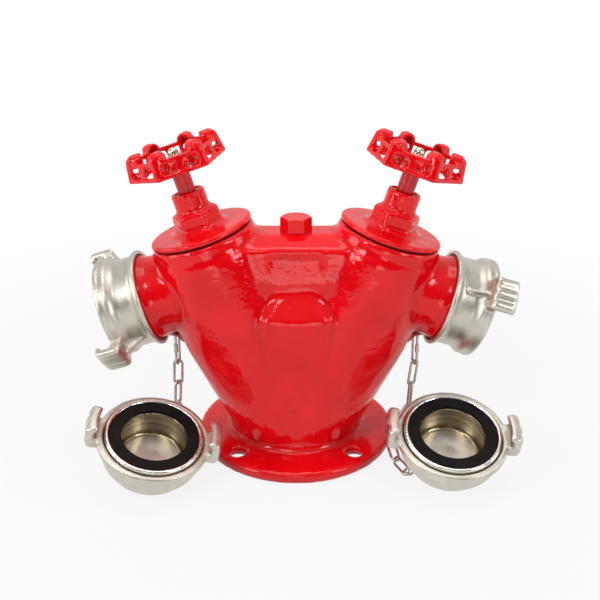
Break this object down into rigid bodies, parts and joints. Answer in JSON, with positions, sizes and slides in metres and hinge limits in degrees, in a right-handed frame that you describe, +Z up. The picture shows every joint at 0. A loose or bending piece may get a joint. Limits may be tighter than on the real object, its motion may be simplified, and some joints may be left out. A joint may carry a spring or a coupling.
{
  "type": "fire department connection",
  "caption": "Red cast angle-valve fire department connection: flanged base, leaning handwheel valves, claw couplings and chained caps.",
  "frame": {"origin": "centre of the base flange's underside, on the axis of the inlet", "axes": "+Z up along the inlet's axis, +X towards the right-hand valve, -Y the front, where the caps lie"},
  "size_m": [0.4626, 0.2662, 0.3479],
  "materials": {
    "red_enamel": "gloss red enamel over cast iron",
    "cast_alloy": "satin cast aluminium alloy, turned faces brighter",
    "stem_steel": "turned stem",
    "chain_steel": "zinc-plated wire",
    "plated_steel": "zinc-plated steel",
    "brass": "turned brass",
    "graphite_packing": "graphite packing rings",
    "black_rubber": "matt black rubber"
  },
  "bodies": {
    "body": {"body_casting": "red_enamel", "top_plug": "red_enamel", "left_bonnet": "red_enamel", "left_bonnet_gasket": "black_rubber", "left_gland_nut": "brass", "left_packing": "graphite_packing", "left_seat_ring": "brass", "left_outlet_coupling": "cast_alloy", "left_coupling_gasket": "black_rubber", "right_bonnet": "red_enamel", "right_bonnet_gasket": "black_rubber", "right_gland_nut": "brass", "right_packing": "graphite_packing", "right_seat_ring": "brass", "right_outlet_coupling": "cast_alloy", "right_coupling_gasket": "black_rubber"},
    "left_valve_disc_set": {"left_valve_disc": "brass", "left_disc_seal": "black_rubber", "left_disc_nut": "brass"},
    "left_spindle": {"left_stem": "stem_steel", "left_handwheel": "red_enamel", "left_wheel_washer": "plated_steel", "left_wheel_nut": "plated_steel"},
    "left_link_1": {"left_chain_link_1": "chain_steel"},
    "left_link_2": {"left_chain_link_2": "chain_steel"},
    "left_link_3": {"left_chain_link_3": "chain_steel"},
    "left_link_4": {"left_chain_link_4": "chain_steel"},
    "left_link_5": {"left_chain_link_5": "chain_steel"},
    "left_link_6": {"left_chain_link_6": "chain_steel"},
    "left_link_7": {"left_chain_link_7": "chain_steel"},
    "left_link_8": {"left_chain_link_8": "chain_steel"},
    "left_link_9": {"left_chain_link_9": "chain_steel"},
    "left_link_10": {"left_chain_link_10": "chain_steel"},
    "left_cap": {"left_cap": "cast_alloy", "left_cap_gasket": "black_rubber", "left_cap_snap_ring": "plated_steel"},
    "left_claw_ring": {"left_cap_claw_ring": "cast_alloy"},
    "right_valve_disc_set": {"right_valve_disc": "brass", "right_disc_seal": "black_rubber", "right_disc_nut": "brass"},
    "right_spindle": {"right_stem": "stem_steel", "right_handwheel": "red_enamel", "right_wheel_washer": "plated_steel", "right_wheel_nut": "plated_steel"},
    "right_link_1": {"right_chain_link_1": "chain_steel"},
    "right_link_2": {"right_chain_link_2": "chain_steel"},
    "right_link_3": {"right_chain_link_3": "chain_steel"},
    "right_link_4": {"right_chain_link_4": "chain_steel"},
    "right_link_5": {"right_chain_link_5": "chain_steel"},
    "right_link_6": {"right_chain_link_6": "chain_steel"},
    "right_link_7": {"right_chain_link_7": "chain_steel"},
    "right_link_8": {"right_chain_link_8": "chain_steel"},
    "right_link_9": {"right_chain_link_9": "chain_steel"},
    "right_link_10": {"right_chain_link_10": "chain_steel"},
    "right_cap": {"right_cap": "cast_alloy", "right_cap_gasket": "black_rubber", "right_cap_snap_ring": "plated_steel"},
    "right_claw_ring": {"right_cap_claw_ring": "cast_alloy"}
  },
  "joints": [
    {"name": "left_valve_lift", "type": "slide", "parent": "body", "child": "left_valve_disc_set", "axis": [-0.2924, 0, 0.9563], "range_m": [0, 0.024]},
    {"name": "left_handwheel_turn", "type": "hinge", "parent": "left_valve_disc_set", "child": "left_spindle", "pos_m": [-0.0987, 0, 0.2395], "axis": [-0.2924, 0, 0.9563], "range_deg": [0, 2160]},
    {"name": "left_link_1_swing", "type": "hinge", "parent": "body", "child": "left_link_1", "pos_m": [-0.132, 0, 0.1275], "axis": [0, 1, 0], "range_deg": [-7, 25]},
    {"name": "left_link_2_swing", "type": "hinge", "parent": "left_link_1", "child": "left_link_2", "pos_m": [-0.13217, -0.0006, 0.08701], "axis": [0.0697, 0.9974, -0.0171], "range_deg": [-11, 45]},
    {"name": "left_link_3_swing", "type": "hinge", "parent": "left_link_2", "child": "left_link_3", "pos_m": [-0.13363, -0.00093, 0.06145], "axis": [-0.8373, 0.5453, 0.0407], "range_deg": [-16, 25]},
    {"name": "left_link_4_swing", "type": "hinge", "parent": "left_link_3", "child": "left_link_4", "pos_m": [-0.13533, -0.00164, 0.03592], "axis": [-0.528, -0.8472, 0.0588], "range_deg": [-54, 60]},
    {"name": "left_link_5_swing", "type": "hinge", "parent": "left_link_4", "child": "left_link_5", "pos_m": [-0.13438, -0.004, 0.01044], "axis": [0.8391, -0.5379, 0.0812], "range_deg": [-16, 60]},
    {"name": "left_link_6_swing", "type": "hinge", "parent": "left_link_5", "child": "left_link_6", "pos_m": [-0.14814, -0.02558, 0.00968], "axis": [0.055, 0, -0.9985], "range_deg": [-14, 60]},
    {"name": "left_link_7_swing", "type": "hinge", "parent": "left_link_6", "child": "left_link_7", "pos_m": [-0.17266, -0.03282, 0.00833], "axis": [-0.2792, 0.9578, -0.0678], "range_deg": [-54, 15]},
    {"name": "left_link_8_swing", "type": "hinge", "parent": "left_link_7", "child": "left_link_8", "pos_m": [-0.19723, -0.03989, 0.00966], "axis": [0.0063, 0.1627, 0.9867], "range_deg": [-54, 12]},
    {"name": "left_link_9_swing", "type": "hinge", "parent": "left_link_8", "child": "left_link_9", "pos_m": [-0.18961, -0.06401, 0.01359], "axis": [0.9516, 0.3057, 0.0318], "range_deg": [-40, 60]},
    {"name": "left_link_10_swing", "type": "hinge", "parent": "left_link_9", "child": "left_link_10", "pos_m": [-0.18183, -0.08758, 0.00732], "axis": [-0.0122, 0.253, -0.9674], "range_deg": [-40, 60]},
    {"name": "left_cap_swing", "type": "hinge", "parent": "left_link_10", "child": "left_cap", "pos_m": [-0.15624, -0.08807, 0.00687], "axis": [-0.0228, -0.9673, -0.2527], "range_deg": [-11, 12]},
    {"name": "left_claw_ring_turn", "type": "hinge", "parent": "left_cap", "child": "left_claw_ring", "pos_m": [-0.1546, -0.0899, 0.01386], "axis": [0.219, -0.2519, 0.9426], "continuous": true},
    {"name": "right_valve_lift", "type": "slide", "parent": "body", "child": "right_valve_disc_set", "axis": [0.2924, 0, 0.9563], "range_m": [0, 0.024]},
    {"name": "right_handwheel_turn", "type": "hinge", "parent": "right_valve_disc_set", "child": "right_spindle", "pos_m": [0.0987, 0, 0.2395], "axis": [0.2924, 0, 0.9563], "range_deg": [0, 2160]},
    {"name": "right_link_1_swing", "type": "hinge", "parent": "body", "child": "right_link_1", "pos_m": [0.132, 0, 0.1275], "axis": [0, 1, 0], "range_deg": [-22, 0]},
    {"name": "right_link_2_swing", "type": "hinge", "parent": "right_link_1", "child": "right_link_2", "pos_m": [0.13276, -0.0017, 0.08705], "axis": [-0.5294, 0.8468, -0.0518], "range_deg": [-60, 0]},
    {"name": "right_link_3_swing", "type": "hinge", "parent": "right_link_2", "child": "right_link_3", "pos_m": [0.12952, -0.00526, 0.0619], "axis": [-0.9791, -0.1417, 0.146], "range_deg": [0, 40]},
    {"name": "right_link_4_swing", "type": "hinge", "parent": "right_link_3", "child": "right_link_4", "pos_m": [0.12721, -0.01396, 0.03794], "axis": [0.3657, -0.8856, 0.2862], "range_deg": [0, 60]},
    {"name": "right_link_5_swing", "type": "hinge", "parent": "right_link_4", "child": "right_link_5", "pos_m": [0.11301, -0.02559, 0.02009], "axis": [0.8239, -0.1821, -0.5367], "range_deg": [-45, 0]},
    {"name": "right_link_6_swing", "type": "hinge", "parent": "right_link_5", "child": "right_link_6", "pos_m": [0.10406, -0.04885, 0.01424], "axis": [-0.1856, 0.3063, -0.9336], "range_deg": [-35, 25]},
    {"name": "right_link_7_swing", "type": "hinge", "parent": "right_link_6", "child": "right_link_7", "pos_m": [0.10849, -0.07253, 0.00559], "axis": [-0.8541, -0.3119, 0.4162], "range_deg": [-60, 20]},
    {"name": "right_link_8_swing", "type": "hinge", "parent": "right_link_7", "child": "right_link_8", "pos_m": [0.11765, -0.09642, 0.00647], "axis": [-0.0188, 0.0299, 0.9994], "range_deg": [-60, 8]},
    {"name": "right_link_9_swing", "type": "hinge", "parent": "right_link_8", "child": "right_link_9", "pos_m": [0.13377, -0.07654, 0.00618], "axis": [-0.7328, 0.5891, -0.3406], "range_deg": [0, 60]},
    {"name": "right_link_10_swing", "type": "hinge", "parent": "right_link_9", "child": "right_link_10", "pos_m": [0.14799, -0.05588, 0.01131], "axis": [0.0464, 0.2106, -0.9765], "range_deg": [-60, 0]},
    {"name": "right_cap_swing", "type": "hinge", "parent": "right_link_10", "child": "right_cap", "pos_m": [0.16047, -0.07785, 0.00717], "axis": [-0.8719, -0.4685, -0.1424], "range_deg": [-60, 3]},
    {"name": "right_claw_ring_turn", "type": "hinge", "parent": "right_cap", "child": "right_claw_ring", "pos_m": [0.1607, -0.0804, 0.01386], "axis": [0.0291, -0.3325, 0.9426], "continuous": true}
  ],
  "couplings": [
    {"joint": "left_valve_lift", "follows": "left_handwheel_turn", "m_per_rad": 0.000636},
    {"joint": "right_valve_lift", "follows": "right_handwheel_turn", "m_per_rad": 0.000636}
  ]
}
